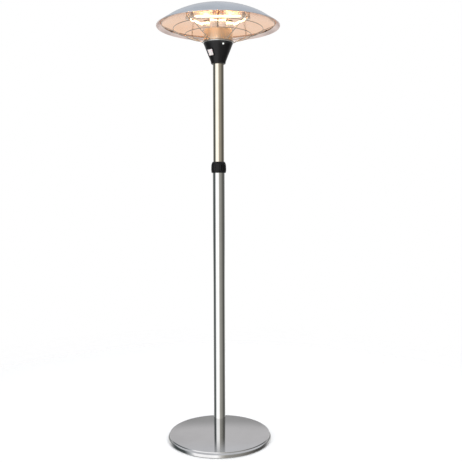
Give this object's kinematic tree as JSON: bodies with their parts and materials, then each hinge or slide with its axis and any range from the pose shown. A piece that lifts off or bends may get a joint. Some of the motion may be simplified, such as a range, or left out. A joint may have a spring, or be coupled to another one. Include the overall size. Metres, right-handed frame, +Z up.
{
  "type": "electric patio heater",
  "caption": "Free-standing mushroom patio heater: halogen tubes behind a wire guard under a domed shell, on a telescopic pole with a weighted round base.",
  "frame": {"origin": "on the floor, at the centre of the base under the pole", "axes": "+Z up along the pole; -Y is the front, towards the indicator lens and the switch keys; +X to the right seen from the front"},
  "size_m": [0.596, 0.596, 2.1094],
  "materials": {
    "brushed_base": "radially spun satin stainless",
    "dome_steel": "satin stainless, faint spinning lines",
    "polished_pole": "polished stainless tube",
    "polished_reflector": "polished aluminium, warm under the lamps",
    "chrome_trim": "bright rolled trim",
    "chrome_wire": "plated steel wire",
    "plain_steel": "zinc-plated",
    "ballast": "rough cast, painted",
    "rubber": "moulded",
    "black_plastic": "satin moulded",
    "black_grip": "ribbed moulded",
    "switch_black": "gloss",
    "key_white": "translucent pale key",
    "lens": "translucent lens",
    "nylon": "natural nylon",
    "ceramic": "unglazed steatite",
    "quartz": "clear quartz",
    "filament": "incandescent coil",
    "lead_sleeve": "braided glass-fibre sleeve"
  },
  "bodies": {
    "stand": {"base_cover": "brushed_base", "base_weight": "ballast", "base_pads": "rubber", "pole_foot": "plain_steel", "pole_bolt": "plain_steel", "pole_washer": "plain_steel", "lower_tube": "polished_pole", "cable_grommet": "rubber", "collar_socket": "black_plastic", "clamp_collet": "nylon"},
    "collar": {"collar_nut": "black_grip"},
    "slider": {"slide_bush": "nylon"},
    "mast": {"upper_tube": "polished_pole", "hub_plate": "plain_steel", "hub_screws": "plain_steel", "cone_housing": "black_plastic", "trim_ring": "chrome_trim", "switch_bezel": "switch_black", "switch_axle": "plain_steel", "indicator_bezel": "switch_black", "indicator_lens": "lens", "terminal_block": "ceramic", "tilt_switch": "switch_black", "thermal_cutout": "ceramic", "column_sleeve": "polished_reflector", "column_plates": "polished_reflector", "lamp_plate": "polished_reflector", "tie_rod": "plain_steel", "rod_spacers": "plain_steel", "reflector": "polished_reflector", "dome_cover": "dome_steel", "dome_washer": "chrome_trim", "dome_nut": "chrome_trim", "quartz_tubes": "quartz", "filaments": "filament", "lamp_holders": "ceramic", "lamp_brackets": "plain_steel", "lamp_leads": "lead_sleeve", "guard_hub_ring": "chrome_wire", "guard_ring_inner": "chrome_wire", "guard_ring_middle": "chrome_wire", "guard_ring_outer": "chrome_wire", "guard_spokes": "chrome_wire", "guard_clips": "plain_steel"},
    "key_left": {"switch_key_left": "key_white"},
    "key_right": {"switch_key_right": "key_white"}
  },
  "joints": [
    {"name": "height_slide", "type": "slide", "parent": "stand", "child": "slider", "axis": [0, 0, 1], "range_m": [-0.45, 0]},
    {"name": "mast_swivel", "type": "hinge", "parent": "slider", "child": "mast", "pos_m": [0, 0, 1.2], "axis": [0, 0, 1], "range_deg": [-90, 90]},
    {"name": "collar_twist", "type": "hinge", "parent": "stand", "child": "collar", "pos_m": [0, 0, 1.319], "axis": [0, 0, 1], "range_deg": [0, 120]},
    {"name": "key_left_rock", "type": "hinge", "parent": "mast", "child": "key_left", "pos_m": [-0.03267, -0.03503, 1.86847], "axis": [0.7314, -0.682, 0], "range_deg": [-14, 0]},
    {"name": "key_right_rock", "type": "hinge", "parent": "mast", "child": "key_right", "pos_m": [-0.03267, -0.03503, 1.86847], "axis": [0.7314, -0.682, 0], "range_deg": [-14, 0]}
  ]
}
